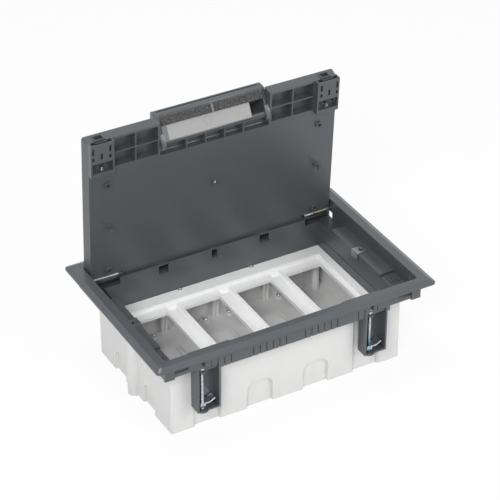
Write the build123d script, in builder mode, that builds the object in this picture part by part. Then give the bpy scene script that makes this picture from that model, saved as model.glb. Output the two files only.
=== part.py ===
from build123d import *
import os
from math import cos, radians, sin

os.makedirs("parts", exist_ok=True)

# Floor socket box for eight 45 mm modules, lid standing open.
# Millimetres. Z is up, X runs along the long side, the hinge is on the +Y side.
# The origin is the centre of the housing's base.

# Overall sizes
box_height = 110.0
frame_length = 342.0
frame_width = 226.4

# Flange that lies on the floor
flange_height = 4.8
flange_lip = 1.8
flange_slope = 6.0
flange_corner = 5.0

# Lid recess and the trough around the well
recess_length = frame_length - 32.0
recess_width = frame_width - 28.4
recess_corner = 3.0
frame_wall = 2.5
trough_depth = 24.0
trough_floor = 2.0
front_corner_depth = 18.0
front_corner_length = 38.5
rear_relief = 3.0
rear_relief_cover = 3.2

# Well that the carrier sits in
well_length = recess_length - 36.0
well_width = recess_width - 38.0
well_wall = 1.8
well_top_gap = 1.7
well_band_height = 20.3
well_band_step = 0.6
well_lip = 4.0
well_lip_thickness = 2.5
ledge_drop = 13.0
ledge_length = 104.0
ledge_skin = 2.2
hinge_pocket_drop = 18.5
hinge_pocket_start = 118.5
rear_hole_spacing = 64.5
rear_hole_width = 12.0
rear_hole_centre_width = 7.0
rear_hole_height = 11.0
rear_hole_top_drop = 11.5
cable_notch_width = 140.0

# Grooves on the front and back skirt
groove_pitch = 8.0
groove_width = 1.4
groove_depth = 0.9
groove_height = 11.5
inner_groove_start = 11.8
inner_groove_count = 6
outer_groove_start = 78.5
outer_groove_count = 4

# Lugs at the front corners of the skirt
lug_length = 11.5
lug_proud = 1.2
lug_drop = 1.5

# Clamps
clamp_screw_x = well_length / 2 - 33.2
clamp_screw_offset = 7.9
clamp_screw_inset = 4.7
clamp_screw_y = recess_width / 2 + frame_wall - clamp_screw_inset
clamp_back_reach = 10.2
clamp_left_reach = 7.4
clamp_right_reach = 20.2
clamp_wall = 2.0
clamp_bottom = 29.2
clamp_floor = 2.0
clamp_opening_drop = 19.0
clamp_foot_radius = 7.4
screw_radius = 2.0
screw_head_radius = 3.4
screw_head_height = 2.6
screw_sink = 1.2
screw_seat_boss = 5.0
screw_seat_depth = 1.6
screw_clearance = 0.3
head_pocket_radius = 3.9
head_window_radius = 5.2
claw_length = 15.0
claw_end = 3.2
claw_front = 2.6
claw_back = 7.4
claw_thickness = 1.8
claw_flat = 8.5
claw_rise = 3.4
claw_level = 37.0
nut_width = 6.4
nut_height = 3.0
pin_clearance = 0.06

# Carrier for the modules
carrier_height = 8.8
carrier_gap = 0.4
window_width = 46.2
window_length = well_width - 58.0
window_count = 4
window_pitch = (well_length - 9.6) / window_count
carrier_step = 4.4
carrier_rim = 16.0
carrier_end_rim = 8.0
carrier_skin = 2.4
divider_lip = 3.4
divider_channel_depth = 3.0
divider_channel_slope = 1.8
channel_overrun = 9.0
carrier_screw_x = 0.7 * window_pitch
carrier_screw_inset = 2.9
carrier_screw_radius = 1.3
carrier_screw_head = 2.2
carrier_pad_radius = 4.0

# Lower housing
seat_gap = 0.2
housing_length = well_length + 13.0
housing_width = 2 * (clamp_screw_y - clamp_back_reach - seat_gap)
housing_wall = 2.4
housing_floor = 3.0
housing_corner = 3.2
niche_x = well_length / 2 - 37.5
niche_width = 30.0
niche_depth = 3.4
niche_skin = 1.0
arch_x = 0.53 * window_pitch
arch_width = 32.0
arch_height = 33.0
arch_corner = 10.0
side_arch_y = 0.2 * housing_width
side_arch_width = 26.0
side_arch_height = 28.0
arch_skin = 1.4
side_column_radius = 8.0
pillar_radius = 2.5
pillar_spacing = 4.8
pillar_stand = 4.5
pillar_height = 42.0
floor_rib_length = window_length - 12.0
floor_rib_height = 1.5
floor_screw_offset = 15.5
floor_screw_y = well_width / 2 - 4.5
floor_boss_radius = 5.0
floor_boss_height = 2.5
floor_screw_radius = 3.0
floor_screw_dome = 1.6
corner_boss_inset_x = 9.0
corner_boss_inset_y = 9.0
corner_boss_radius = 4.5
corner_pad_radius = 7.0
housing_screw_radius = 1.5
housing_screw_head = 3.2

# Support brackets on the side ledges
bracket_width = 13.0
bracket_reach = 14.5
bracket_drop = 8.0
bracket_thickness = 1.2
bracket_hole_inset = 7.0
bracket_hole_radius = 2.5

# Lid
lid_thickness = 13.0
lid_side_gap = 0.8
lid_front_gap = 0.5
lid_back_gap = 1.0
lid_draft = 1.9
lid_open_angle = 86.57
lid_corner = 3.0
hinge_inset = 14.1
hinge_depth = 11.9
lid_skin = 2.4
lid_rim = 3.0
cover_recess = 3.5
cover_plate_thickness = 2.0
cover_plate_gap = 0.4
lid_back_chamfer = 3.2
lid_heel_start = 4.5
lid_heel_rise = 6.0
lid_cell_wall = 2.0
lid_cell_columns = 6
lid_cell_rows = 3
front_zone = frame_width - 85.4
pocket_inner = 70.0
pocket_outer = recess_length / 2 - 32.0
pocket_near = front_zone + 4.0
pocket_far = front_zone + 39.0
pocket_rib = 1.6
panel_boss_x = recess_length / 2 - 24.0
panel_boss_near = 10.5
panel_boss_far = front_zone - 17.1
panel_boss_middle = 0.62 * front_zone
panel_peg = panel_boss_middle - 17.4
panel_peg_root = 3.3
panel_peg_radius = 1.9
panel_peg_tip = 2.4
panel_peg_height = 11.0
panel_boss_radius = 3.8
panel_boss_hole = 2.2
panel_boss_height = 3.4
panel_slot_x = recess_length / 2 - 42.7

# Hinge pins
pin_radius = 2.8
pin_inner = recess_length / 2 - 36.0
pin_end_gap = 0.6
pin_groove_inner = recess_length / 2 - 42.0
neck_radius = 1.7
spring_wire = 0.5
spring_turns = 4
spring_length = 7.4
pin_shoulder = recess_length / 2 - 11.4
pin_handle = 11.0

# Cable outlet flap
flap_half = 67.0
flap_gap = 0.3
flap_lift = 12.0
flap_start = frame_width - 69.4
flap_lip = 1.8
flap_lip_stand = 1.4
flap_wall = 2.0
flap_slant_start = -1.5
flap_slant_end = 13.2
flap_window_from = flap_start + 4.0
flap_window_to = flap_start + 16.5
flap_plate_thickness = 1.4
flap_plate_left = 56.5
flap_plate_right = 45.0
lever_reach = 4.5
lever_root = 10.0
lever_thickness = 2.2
lever_width = 5.5
foam_from = flap_start + 17.2
foam_thickness = 3.4
foam_clip_width = 3.0
flap_rib_x = 11.7
flap_rib_pitch = 23.3
flap_rib_width = 2.0

# Latches
latch_inner = recess_length / 2 - 30.4
latch_stand = 6.1
latch_wall = 1.8
latch_cover = 1.4
latch_pocket_start = front_zone + 5.0
latch_near = front_zone + 17.0
slider_near = front_zone + 10.5
latch_slot_shift = 1.0
latch_slot_spread = 20.0
latch_slot_width = 2.4
hook_gap = 5.0
hook_depth = 4.0
latch_spring_radius = 1.6
latch_spring_turns = 3
latch_gap = 0.3
nose_half_width = 7.5
nose_thickness = 3.2
nose_retract = 0.4
latch_travel = 3.0
thumb_width = 13.0
thumb_length = 9.0
thumb_start = front_zone + 13.0
thumb_window_length = 14.0
guide_length = 9.6
guide_height = 7.4
guide_depth = 4.0
guide_rim = 1.3
guide_proud = 0.25
guide_level = 3.9
keeper_side_gap = 1.5
keeper_height_gap = 0.8

# Levels worked out from the sizes above
floor_level = box_height - flange_height
trough_bottom = floor_level - trough_depth
trough_top = trough_bottom + trough_floor
front_corner_bottom = floor_level - front_corner_depth
front_corner_top = front_corner_bottom + trough_floor
ledge_top = floor_level - ledge_drop
lid_underside = box_height - lid_thickness
well_top = lid_underside - well_top_gap
pocket_level = floor_level - hinge_pocket_drop
hinge_y = recess_width / 2 - hinge_inset
hinge_z = box_height - hinge_depth
lid_outer = hinge_depth
lid_inner = hinge_depth - lid_thickness
lid_front = hinge_y + recess_width / 2 - lid_front_gap
lid_back = recess_width / 2 - lid_back_gap - hinge_y
lid_half = recess_length / 2 - lid_side_gap
plate_top = lid_outer - cover_recess
plate_bottom = plate_top - cover_plate_thickness
latch_outer = lid_half - lid_draft
latch_face = lid_inner - latch_stand
latch_x = (latch_inner + latch_outer) / 2
well_outer_x = well_length / 2 + well_wall
well_outer_y = well_width / 2 + well_wall
skirt_x = recess_length / 2 + frame_wall
skirt_y = recess_width / 2 + frame_wall
carrier_level = 46.9
carrier_top = carrier_level + carrier_height
lip_bottom = carrier_level - well_lip_thickness
corner_boss_x = well_length / 2 - corner_boss_inset_x
corner_boss_y = well_width / 2 - corner_boss_inset_y
front_corner_x = skirt_x - front_corner_length
pin_end = skirt_x - pin_end_gap

# The lid's own plane: X along the hinge, Z towards the outer face, origin on the hinge axis
lid_angle = radians(lid_open_angle)
along_lid = (0, -cos(lid_angle), sin(lid_angle))
out_of_lid = (0, sin(lid_angle), cos(lid_angle))
lid_plane = Plane(origin=(0, hinge_y, hinge_z), x_dir=(1, 0, 0), z_dir=out_of_lid)
lid_section = Plane(origin=(0, hinge_y, hinge_z), x_dir=along_lid, z_dir=(-1, 0, 0))
lid_front_edge = Vector(0, hinge_y, hinge_z) + Vector(*along_lid) * (lid_front + guide_proud)
lid_section_front = Plane(origin=lid_front_edge, x_dir=(-1, 0, 0), z_dir=tuple(-Vector(*along_lid)))


def lid_at(height):
    """Plane parallel to the lid at this height over the hinge axis."""
    return lid_plane.offset(height)


def lid_area(x_from, x_to, near, far):
    """Rectangle on the lid between two distances from the hinge axis."""
    with Locations(((x_from + x_to) / 2, -(near + far) / 2)):
        Rectangle(abs(x_to - x_from), far - near)


def area(x_from, x_to, y_from, y_to):
    """Rectangle between two corners."""
    with Locations(((x_from + x_to) / 2, (y_from + y_to) / 2)):
        Rectangle(abs(x_to - x_from), abs(y_to - y_from))


def save(builder, name):
    """Label a finished piece and write it."""
    builder.part.label = name
    export_step(builder.part, f"parts/{name}.step")


# Clamp stations: screw position, turn of the module about the vertical and level of the screw's seat
clamp_stations = {
    "front_left": (-clamp_screw_x - clamp_screw_offset, -clamp_screw_y, 0, trough_top),
    "front_right": (clamp_screw_x - clamp_screw_offset, -clamp_screw_y, 0, trough_top),
    "back_right": (clamp_screw_x + clamp_screw_offset, clamp_screw_y, 180, trough_top - screw_sink),
    "back_left": (-clamp_screw_x + clamp_screw_offset, clamp_screw_y, 180, trough_top - screw_sink),
}
channel_back = clamp_back_reach
channel_front = skirt_y - clamp_screw_y


def clamp_plane(station, level):
    """Plane of one clamp, its origin on the screw axis and -Y pointing out of the box."""
    x, y, turn, seat = station
    return Plane(origin=(x, y, level), x_dir=(cos(radians(turn)), sin(radians(turn)), 0), z_dir=(0, 0, 1))


# Frame: flange, trough and well in one moulding
with BuildPart() as top_frame:
    with BuildSketch(Plane.XY.offset(floor_level)):
        RectangleRounded(frame_length, frame_width, flange_corner)
    extrude(amount=flange_lip)
    with BuildSketch(Plane.XY.offset(floor_level + flange_lip)):
        RectangleRounded(frame_length, frame_width, flange_corner)
    with BuildSketch(Plane.XY.offset(box_height)):
        RectangleRounded(frame_length - 2 * flange_slope, frame_width - 2 * flange_slope, flange_corner / 2)
    loft()
    # Skirt block, shallower at the front corners and along the sides
    with BuildSketch(Plane.XY.offset(front_corner_bottom)):
        RectangleRounded(2 * skirt_x, 2 * skirt_y, recess_corner + frame_wall)
    extrude(amount=front_corner_depth)
    with BuildSketch(Plane.XY.offset(trough_bottom)):
        area(-front_corner_x, front_corner_x, -skirt_y, -well_width / 2)
        area(-skirt_x, skirt_x, ledge_length / 2, skirt_y + rear_relief)
    extrude(amount=trough_depth)
    # Lugs at the front corners
    with BuildSketch(Plane.XY.offset(front_corner_bottom - lug_drop)):
        for side in (-1, 1):
            area(side * (skirt_x - lug_length), side * skirt_x, -skirt_y - lug_proud, -skirt_y + frame_wall)
    extrude(amount=floor_level - front_corner_bottom + lug_drop)
    # Well walls
    with BuildSketch(Plane.XY.offset(lip_bottom)):
        Rectangle(2 * well_outer_x, 2 * well_outer_y)
    extrude(amount=well_top - lip_bottom)
    # Recess for the lid down to the ledges
    with BuildSketch(Plane.XY.offset(ledge_top)):
        RectangleRounded(recess_length, recess_width, recess_corner)
        Rectangle(2 * well_outer_x, 2 * well_outer_y, mode=Mode.SUBTRACT)
    extrude(amount=box_height - ledge_top, mode=Mode.SUBTRACT)
    with BuildSketch(Plane.XY.offset(ledge_top)):
        area(-well_outer_x, well_outer_x, -ledge_length / 2, ledge_length / 2)
    extrude(amount=well_top - ledge_top, mode=Mode.SUBTRACT)
    with BuildSketch(Plane.XY.offset(well_top)):
        Rectangle(2 * well_outer_x, 2 * well_outer_y)
    extrude(amount=box_height - well_top, mode=Mode.SUBTRACT)
    # Front corners
    with BuildSketch(Plane.XY.offset(front_corner_top)) as front_corners:
        for side in (-1, 1):
            area(side * well_length / 2, side * recess_length / 2, -recess_width / 2, -ledge_length / 2)
            area(side * front_corner_x, side * recess_length / 2, -recess_width / 2, -well_width / 2)
    extrude(amount=ledge_top - front_corner_top, mode=Mode.SUBTRACT)
    with BuildSketch(Plane.XY.offset(front_corner_top)):
        for side in (-1, 1):
            area(side * front_corner_x, side * recess_length / 2, -recess_width / 2, -ledge_length / 2)
    extrude(amount=well_top - front_corner_top, mode=Mode.SUBTRACT)
    # Front trough and back trough
    with BuildSketch(Plane.XY.offset(trough_top)):
        area(-front_corner_x, front_corner_x, -recess_width / 2, -well_outer_y)
        area(-recess_length / 2, recess_length / 2, well_outer_y, recess_width / 2)
        for side in (-1, 1):
            area(side * well_outer_x, side * recess_length / 2, ledge_length / 2, recess_width / 2)
    extrude(amount=ledge_top - trough_top, mode=Mode.SUBTRACT)
    # The back wall stands further out below the flange, where the lid swings
    with BuildSketch(Plane.XY.offset(trough_top)):
        area(-recess_length / 2, recess_length / 2, well_outer_y, recess_width / 2 + rear_relief)
    extrude(amount=box_height - rear_relief_cover - trough_top, mode=Mode.SUBTRACT)
    # Lowered well walls at the hinge corners and the cable notch at the front
    with BuildSketch(Plane.XY.offset(pocket_level)):
        for side in (-1, 1):
            area(side * hinge_pocket_start, side * well_outer_x, ledge_length / 2, well_outer_y)
    extrude(amount=well_top - pocket_level, mode=Mode.SUBTRACT)
    with BuildSketch(Plane.XY.offset(trough_top)):
        area(-cable_notch_width / 2, cable_notch_width / 2, -well_outer_y, -well_width / 2)
    extrude(amount=well_top - trough_top, mode=Mode.SUBTRACT)
    # Inside of the well, with a thicker band at the bottom and the carrier's lip
    with BuildSketch(Plane.XY.offset(carrier_level)):
        Rectangle(well_length - 2 * well_band_step, well_width)
    extrude(amount=well_band_height, mode=Mode.SUBTRACT)
    with BuildSketch(Plane.XY.offset(carrier_level + well_band_height)):
        Rectangle(well_length, well_width)
    extrude(amount=box_height - carrier_level - well_band_height, mode=Mode.SUBTRACT)
    with BuildSketch(Plane.XY.offset(lip_bottom)):
        Rectangle(well_length - 2 * well_lip, well_width - 2 * well_lip)
        with GridLocations(2 * corner_boss_x, 2 * corner_boss_y, 2, 2):
            Circle(corner_pad_radius, mode=Mode.SUBTRACT)
        with GridLocations(2 * carrier_screw_x, well_width - 2 * carrier_screw_inset, 2, 2):
            Circle(carrier_pad_radius, mode=Mode.SUBTRACT)
    extrude(amount=well_lip_thickness, mode=Mode.SUBTRACT)
    # Hollow underside of the side ledges
    with BuildSketch(Plane.XY.offset(front_corner_bottom)):
        for side in (-1, 1):
            area(
                side * well_outer_x,
                side * (skirt_x - frame_wall),
                -ledge_length / 2 + ledge_skin,
                ledge_length / 2 - ledge_skin,
            )
    extrude(amount=ledge_top - ledge_skin - front_corner_bottom, mode=Mode.SUBTRACT)
    # Holes in the back wall of the well
    with BuildSketch(Plane.XZ.offset(-well_width / 2)):
        rear_hole_z = floor_level - rear_hole_top_drop - rear_hole_height / 2
        with Locations((-rear_hole_spacing, rear_hole_z), (rear_hole_spacing, rear_hole_z)):
            Rectangle(rear_hole_width, rear_hole_height)
        with Locations((0, rear_hole_z)):
            Rectangle(rear_hole_centre_width, rear_hole_height)
    extrude(amount=-well_wall, mode=Mode.SUBTRACT)
    # Ribs in the front corners
    with BuildSketch(Plane.XY.offset(front_corner_top)):
        for side in (-1, 1):
            with Locations((side * (well_outer_x + recess_length / 2) / 2, -ledge_length / 2 - 9)):
                with GridLocations(4.5, 1, 3, 1):
                    Rectangle(1.4, 16)
    extrude(amount=1.2)
    # Keeper slots for the latches
    keeper_low = hinge_z + latch_face + latch_cover - keeper_height_gap
    keeper_high = keeper_low + nose_thickness + 2 * keeper_height_gap
    with BuildSketch(Plane.XZ.offset(skirt_y)):
        with Locations((-latch_x, (keeper_low + keeper_high) / 2), (latch_x, (keeper_low + keeper_high) / 2)):
            Rectangle(2 * nose_half_width + 2 * keeper_side_gap, keeper_high - keeper_low)
    extrude(amount=-frame_wall, mode=Mode.SUBTRACT)
    # Pin holes in the side walls, with a window under each and a slot at the front
    for side in (-1, 1):
        with BuildSketch(Plane.YZ.offset(side * skirt_x)):
            with Locations((hinge_y, hinge_z)):
                Circle(pin_radius + pin_clearance)
            area(hinge_y - 5, hinge_y + 5, trough_top + 0.5, hinge_z - pin_radius - 1.4)
            area(-recess_width / 2 + 14.4, -recess_width / 2 + 17, floor_level - 9.7, floor_level - 1.5)
        extrude(amount=-side * frame_wall, mode=Mode.SUBTRACT)
    # Seat of each clamp screw and the way for it
    for station in clamp_stations.values():
        with BuildSketch(clamp_plane(station, trough_bottom - screw_seat_depth)):
            Circle(screw_seat_boss)
        extrude(amount=screw_seat_depth)
        with BuildSketch(clamp_plane(station, trough_bottom - screw_seat_depth)):
            Circle(screw_radius + screw_clearance)
        extrude(amount=trough_floor + screw_seat_depth, mode=Mode.SUBTRACT)
        with BuildSketch(clamp_plane(station, station[3])):
            Circle(head_pocket_radius)
        extrude(amount=floor_level - station[3], mode=Mode.SUBTRACT)
    # The front skirt is notched over the clamp channels, with a window beside each screw head
    for name in ("front_left", "front_right"):
        station = clamp_stations[name]
        with BuildSketch(clamp_plane(station, trough_bottom)):
            area(
                -clamp_left_reach + clamp_wall,
                clamp_right_reach - clamp_wall,
                -channel_front,
                -channel_front + frame_wall,
            )
        extrude(amount=trough_depth - clamp_opening_drop, mode=Mode.SUBTRACT)
        with BuildSketch(clamp_plane(station, trough_top + screw_head_height + 2)):
            Circle(head_window_radius)
        extrude(amount=6.5, mode=Mode.SUBTRACT)
    # Grooves up the skirt
    for face_y in (-skirt_y, skirt_y + rear_relief):
        with BuildSketch(Plane.XY.offset(trough_bottom)):
            for side in (-1, 1):
                for start, count in (
                    (inner_groove_start, inner_groove_count),
                    (outer_groove_start, outer_groove_count),
                ):
                    for index in range(count):
                        with Locations((side * (start + index * groove_pitch), face_y)):
                            Rectangle(groove_width, 2 * groove_depth)
        extrude(amount=groove_height, mode=Mode.SUBTRACT)
    # Screw holes through the lip, its corner pads and the ledges
    with BuildSketch(Plane.XY.offset(lip_bottom)):
        with GridLocations(2 * corner_boss_x, 2 * corner_boss_y, 2, 2):
            Circle(housing_screw_radius + screw_clearance)
        with GridLocations(2 * carrier_screw_x, well_width - 2 * carrier_screw_inset, 2, 2):
            Circle(carrier_screw_radius)
    extrude(amount=well_lip_thickness, mode=Mode.SUBTRACT)
    with BuildSketch(Plane.XY.offset(ledge_top - ledge_skin)):
        with GridLocations(well_length + 2 * bracket_hole_inset, 1, 2, 1):
            Circle(bracket_hole_radius)
    extrude(amount=ledge_skin, mode=Mode.SUBTRACT)
save(top_frame, "top_frame")

# Clamp housings under the trough, open to the front, each with a foot for its screw
for name, station in clamp_stations.items():
    with BuildPart() as clamp_housing:
        with BuildSketch(clamp_plane(station, clamp_bottom)):
            area(-clamp_left_reach, clamp_right_reach, -channel_front, channel_back)
            Circle(clamp_foot_radius)
        extrude(amount=clamp_floor)
        with BuildSketch(clamp_plane(station, clamp_bottom)):
            area(-clamp_left_reach, clamp_right_reach, -channel_front, channel_back)
        extrude(amount=trough_bottom - clamp_bottom)
        with BuildSketch(clamp_plane(station, clamp_bottom + clamp_floor)):
            area(
                -clamp_left_reach + clamp_wall,
                clamp_right_reach - clamp_wall,
                -channel_front - clamp_wall,
                channel_back - clamp_wall,
            )
        extrude(amount=trough_bottom - clamp_bottom - clamp_floor, mode=Mode.SUBTRACT)
        with BuildSketch(clamp_plane(station, clamp_bottom)):
            Circle(screw_radius + screw_clearance)
        extrude(amount=clamp_floor, mode=Mode.SUBTRACT)
    save(clamp_housing, f"clamp_housing_{name}")


def housing_outline(inset, skin):
    """Plan of the lower housing, drawn in all round, with this wall thickness behind the niches."""
    with BuildSketch() as outline:
        Rectangle(housing_length - 2 * inset, housing_width - 2 * inset)
        with GridLocations(2 * niche_x, housing_width, 2, 2):
            Rectangle(niche_width + 2 * inset, 2 * (niche_depth + skin), mode=Mode.SUBTRACT)
        edge = housing_width / 2 - inset
        corners = outline.vertices().filter_by(lambda v: abs(abs(v.Y) - edge) < 0.01)
        fillet(corners, housing_corner - inset)
        with GridLocations(housing_length, 1, 2, 1):
            Circle(side_column_radius - inset)
    return outline.sketch


def arch(width, height):
    """Arch standing on the base line."""
    with BuildSketch() as shape:
        with Locations((0, (height - arch_corner) / 2)):
            Rectangle(width, height + arch_corner)
        fillet(shape.vertices().group_by(Axis.Y)[-1], arch_corner)
        with Locations((0, -arch_corner)):
            Rectangle(width, 2 * arch_corner, mode=Mode.SUBTRACT)
    return shape.sketch


# Arch-headed knock-outs: plane of the outer face, opening and the wall behind it
housing_plan = housing_outline(0, 0)
housing_hollow = housing_outline(housing_wall, housing_wall)
housing_upper_hollow = housing_outline(housing_wall, niche_skin)
long_arch = arch(arch_width, arch_height)
long_arch_wall = arch(arch_width + 2 * housing_wall, arch_height + housing_wall)
side_arch = arch(side_arch_width, side_arch_height)
side_arch_wall = arch(side_arch_width + 2 * housing_wall, side_arch_height + housing_wall)
arches = []
for sign in (-1, 1):
    for x in (-arch_x, arch_x):
        face = Plane(origin=(x, sign * housing_width / 2, 0), x_dir=(-sign, 0, 0), z_dir=(0, sign, 0))
        arches.append((face, long_arch, long_arch_wall))
    for y in (-side_arch_y, side_arch_y):
        face = Plane(origin=(sign * housing_length / 2, y, 0), x_dir=(0, sign, 0), z_dir=(sign, 0, 0))
        arches.append((face, side_arch, side_arch_wall))

# Lower housing that is cast into the floor
with BuildPart() as lower_housing:
    with BuildSketch():
        add(housing_plan)
    extrude(amount=front_corner_bottom - seat_gap)
    with BuildSketch(Plane.XY.offset(housing_floor)):
        add(housing_hollow)
    extrude(amount=front_corner_bottom, mode=Mode.SUBTRACT)
    with BuildSketch(Plane.XY.offset(lip_bottom - seat_gap)):
        add(housing_upper_hollow)
    extrude(amount=front_corner_bottom, mode=Mode.SUBTRACT)
    for face, opening, wall in arches:
        with BuildSketch(face.offset(-niche_depth - arch_skin)):
            add(wall)
        extrude(amount=niche_depth)
        with BuildSketch(face):
            add(opening)
        extrude(amount=-niche_depth, mode=Mode.SUBTRACT)
    # Room for the trough of the frame
    with BuildSketch(Plane.XY.offset(trough_bottom - seat_gap)):
        area(-front_corner_x - seat_gap, front_corner_x + seat_gap, -housing_width, -well_width / 2)
        area(-housing_length, housing_length, ledge_length / 2 - ledge_skin - seat_gap, housing_width)
    extrude(amount=trough_depth, mode=Mode.SUBTRACT)
    # Paired pillars on the long walls and the bosses for the corner screws
    with BuildSketch(Plane.XY.offset(housing_floor)):
        with GridLocations(window_pitch, housing_width - 2 * housing_wall - 2 * pillar_stand, 3, 2):
            with GridLocations(pillar_spacing, 1, 2, 1):
                Circle(pillar_radius)
        with GridLocations(window_pitch, housing_width - 2 * housing_wall - pillar_stand, 3, 2):
            Rectangle(pillar_spacing + 2 * pillar_radius - 2, pillar_stand)
    extrude(amount=pillar_height - housing_floor)
    with BuildSketch(Plane.XY.offset(housing_floor)):
        with GridLocations(2 * corner_boss_x, 2 * corner_boss_y, 2, 2):
            Circle(corner_boss_radius)
    extrude(amount=lip_bottom - housing_floor)
    with BuildSketch(Plane.XY.offset(housing_floor)):
        with GridLocations(2 * corner_boss_x, 2 * corner_boss_y, 2, 2):
            Circle(housing_screw_radius)
    extrude(amount=lip_bottom - housing_floor, mode=Mode.SUBTRACT)
    # Floor ribs and screw bosses
    with BuildSketch(Plane.XY.offset(housing_floor)):
        with GridLocations(window_pitch, 1, 3, 1):
            with GridLocations(pillar_spacing, 1, 2, 1):
                Rectangle(1.6, floor_rib_length)
    extrude(amount=floor_rib_height)
    with BuildSketch(Plane.XY.offset(housing_floor)):
        for x in (floor_screw_offset, window_pitch + floor_screw_offset):
            with GridLocations(2 * x, 2 * floor_screw_y, 2, 2):
                Circle(floor_boss_radius)
    extrude(amount=floor_boss_height)
save(lower_housing, "lower_housing")

# Carrier that the modules clip into
carrier_length = well_length - 2 * well_band_step - 2 * carrier_gap
carrier_width = well_width - 2 * carrier_gap
deck_level = carrier_top - carrier_step
deck_length = carrier_length - 2 * carrier_end_rim
deck_width = carrier_width - 2 * carrier_rim
divider_channel_width = window_pitch - window_width - 2 * divider_lip
with BuildPart() as socket_carrier:
    with BuildSketch(Plane.XY.offset(carrier_level)):
        Rectangle(carrier_length, carrier_width)
    extrude(amount=carrier_height)
    with BuildSketch(Plane.XY.offset(deck_level)):
        Rectangle(deck_length, deck_width)
    extrude(amount=carrier_step, mode=Mode.SUBTRACT)
    # Sloping channels between the openings
    for index in range(window_count - 1):
        middle = (index - (window_count - 2) / 2) * window_pitch
        floor_width = divider_channel_width - 2 * divider_channel_slope
        with BuildSketch(Plane.XY.offset(deck_level - divider_channel_depth)):
            with Locations((middle, 0)):
                Rectangle(floor_width, window_length + 2 * channel_overrun - 4 * divider_channel_slope)
        with BuildSketch(Plane.XY.offset(deck_level)):
            with Locations((middle, 0)):
                Rectangle(divider_channel_width, window_length + 2 * channel_overrun)
        loft(mode=Mode.SUBTRACT)
    # Hollow underside
    with BuildSketch(Plane.XY.offset(carrier_level)):
        Rectangle(carrier_length - 2 * carrier_skin, carrier_width - 2 * carrier_skin)
        with GridLocations(window_pitch, 1, window_count, 1):
            Rectangle(window_width + 2 * carrier_skin, window_length + 2 * carrier_skin, mode=Mode.SUBTRACT)
        with GridLocations(window_pitch, 1, window_count - 1, 1):
            Rectangle(window_pitch - window_width, deck_width, mode=Mode.SUBTRACT)
        with GridLocations(2 * carrier_screw_x, well_width - 2 * carrier_screw_inset, 2, 2):
            Circle(2 * carrier_screw_radius + 1, mode=Mode.SUBTRACT)
    extrude(amount=deck_level - carrier_skin - carrier_level, mode=Mode.SUBTRACT)
    with BuildSketch(Plane.XY.offset(carrier_level)):
        with GridLocations(window_pitch, 1, window_count, 1):
            Rectangle(window_width, window_length)
    extrude(amount=carrier_height, mode=Mode.SUBTRACT)
    with BuildSketch(Plane.XY.offset(carrier_level)):
        with GridLocations(2 * carrier_screw_x, well_width - 2 * carrier_screw_inset, 2, 2):
            Circle(carrier_screw_radius + screw_clearance)
    extrude(amount=carrier_height, mode=Mode.SUBTRACT)
save(socket_carrier, "socket_carrier")

# Four small screws hold the carrier down on the lip
with BuildPart() as carrier_screws:
    with BuildSketch(Plane.XY.offset(lip_bottom)):
        with GridLocations(2 * carrier_screw_x, well_width - 2 * carrier_screw_inset, 2, 2):
            Circle(carrier_screw_radius)
    extrude(amount=carrier_top - lip_bottom)
    with BuildSketch(Plane.XY.offset(carrier_top)):
        with GridLocations(2 * carrier_screw_x, well_width - 2 * carrier_screw_inset, 2, 2):
            Circle(carrier_screw_head)
    extrude(amount=1.4)
    with BuildSketch(Plane.XY.offset(carrier_top + 0.6)):
        with GridLocations(2 * carrier_screw_x, well_width - 2 * carrier_screw_inset, 2, 2):
            Rectangle(2.8, 0.7)
            Rectangle(0.7, 2.8)
    extrude(amount=0.8, mode=Mode.SUBTRACT)
save(carrier_screws, "carrier_screws")

# Four screws join the frame to the housing's corner bosses
with BuildPart() as housing_screws:
    with BuildSketch(Plane.XY.offset(lip_bottom - 14)):
        with GridLocations(2 * corner_boss_x, 2 * corner_boss_y, 2, 2):
            Circle(housing_screw_radius)
    extrude(amount=carrier_level - lip_bottom + 14)
    with BuildSketch(Plane.XY.offset(carrier_level)):
        with GridLocations(2 * corner_boss_x, 2 * corner_boss_y, 2, 2):
            Circle(housing_screw_head)
    extrude(amount=2)
save(housing_screws, "housing_screws")

# Screws in the housing's floor bosses
with BuildPart() as floor_screws:
    screw_seat = housing_floor + floor_boss_height
    with BuildSketch(Plane.XY.offset(screw_seat)):
        for x in (floor_screw_offset, window_pitch + floor_screw_offset):
            with GridLocations(2 * x, 2 * floor_screw_y, 2, 2):
                Circle(floor_screw_radius)
    extrude(amount=2.2)
    fillet(floor_screws.faces().filter_by(Axis.Z).group_by(Axis.Z)[-1].edges(), floor_screw_dome)
save(floor_screws, "floor_screws")

# Angle brackets on the side ledges
for name, side in (("left", -1), ("right", 1)):
    inner_x = side * (well_length / 2 - bracket_thickness)
    with BuildPart() as bracket:
        with BuildSketch(Plane.XY.offset(ledge_top)):
            area(inner_x, inner_x + side * bracket_reach, -bracket_width / 2, bracket_width / 2)
            with Locations((side * (well_length / 2 + bracket_hole_inset), 0)):
                Circle(bracket_hole_radius, mode=Mode.SUBTRACT)
        extrude(amount=bracket_thickness)
        with BuildSketch(Plane.XY.offset(ledge_top - bracket_drop)):
            area(inner_x, inner_x + side * bracket_thickness, -bracket_width / 2, bracket_width / 2)
        extrude(amount=bracket_drop + bracket_thickness)
    save(bracket, f"support_bracket_{name}")

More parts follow.
